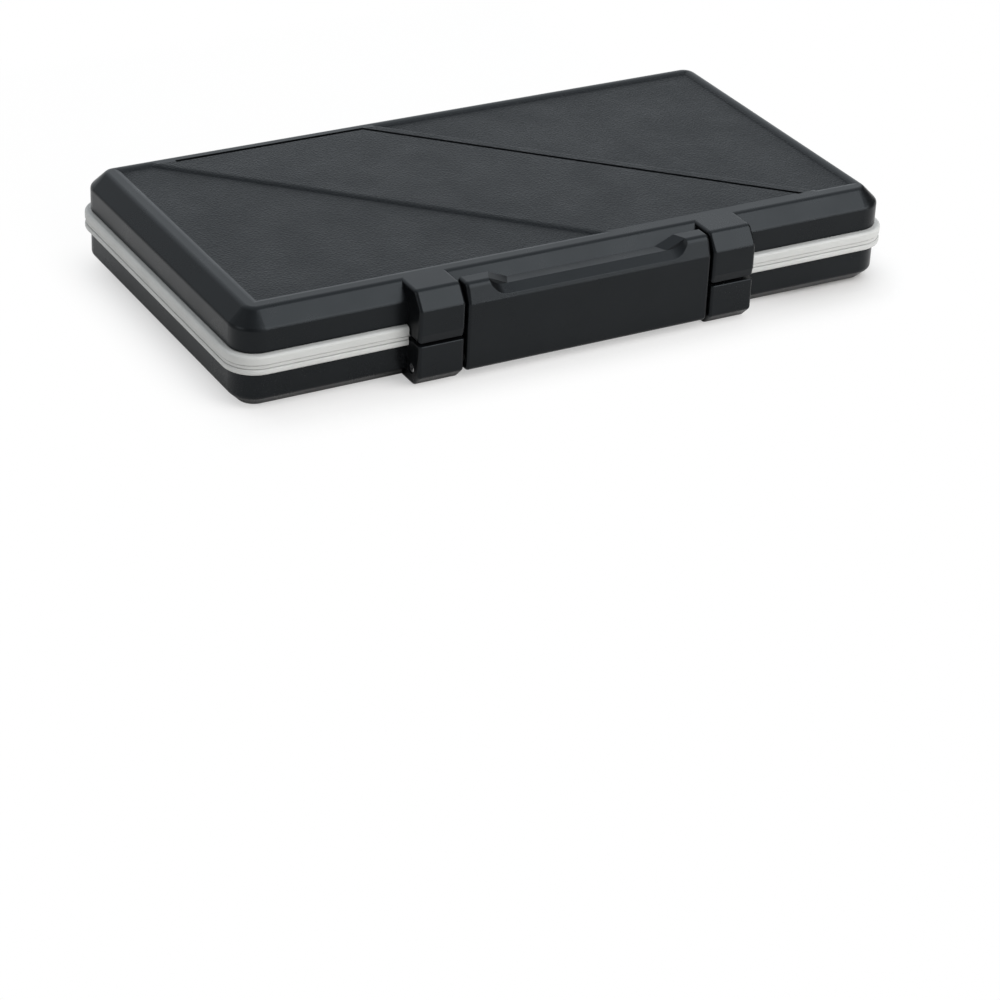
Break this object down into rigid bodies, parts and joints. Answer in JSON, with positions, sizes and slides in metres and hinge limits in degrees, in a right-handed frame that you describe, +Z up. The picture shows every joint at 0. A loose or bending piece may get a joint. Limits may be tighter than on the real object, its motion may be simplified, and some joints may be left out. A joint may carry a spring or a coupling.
{
  "type": "memory card case",
  "caption": "Flat hinged hard case for memory cards: bevelled lid with slanted sunk panels, soft grey band with a seal, front snap latch between lugs, rear hinge.",
  "frame": {"origin": "middle of the closed case's bounding box, on the surface that its underside rests on", "axes": "+X along the length, to the right as seen from the latch; -Y towards the latch; +Y towards the hinge; +Z up"},
  "size_m": [0.1932, 0.1124, 0.026],
  "materials": {
    "shell": "satin black moulding, fine leather grain on the top panels",
    "latch": "smooth satin black moulding",
    "liner": "soft matte grey elastomer",
    "seal": "soft matte grey elastomer",
    "pin": "plain drawn steel"
  },
  "bodies": {
    "base": {"base_shell": "shell", "base_tray": "liner", "seal_ring": "seal", "latch_pin_left": "pin", "latch_pin_right": "pin", "hinge_pin_left": "pin", "hinge_pin_right": "pin"},
    "lid": {"lid_shell": "shell", "lid_tray": "liner"},
    "latch": {"latch": "latch"}
  },
  "joints": [
    {"name": "lid_hinge", "type": "hinge", "parent": "base", "child": "lid", "pos_m": [0, 0.0528, 0.013], "axis": [-1, 0, 0], "range_deg": [0, 180]},
    {"name": "latch_pivot", "type": "hinge", "parent": "base", "child": "latch", "pos_m": [0, -0.0521, 0.0044], "axis": [1, 0, 0], "range_deg": [0, 90]}
  ]
}
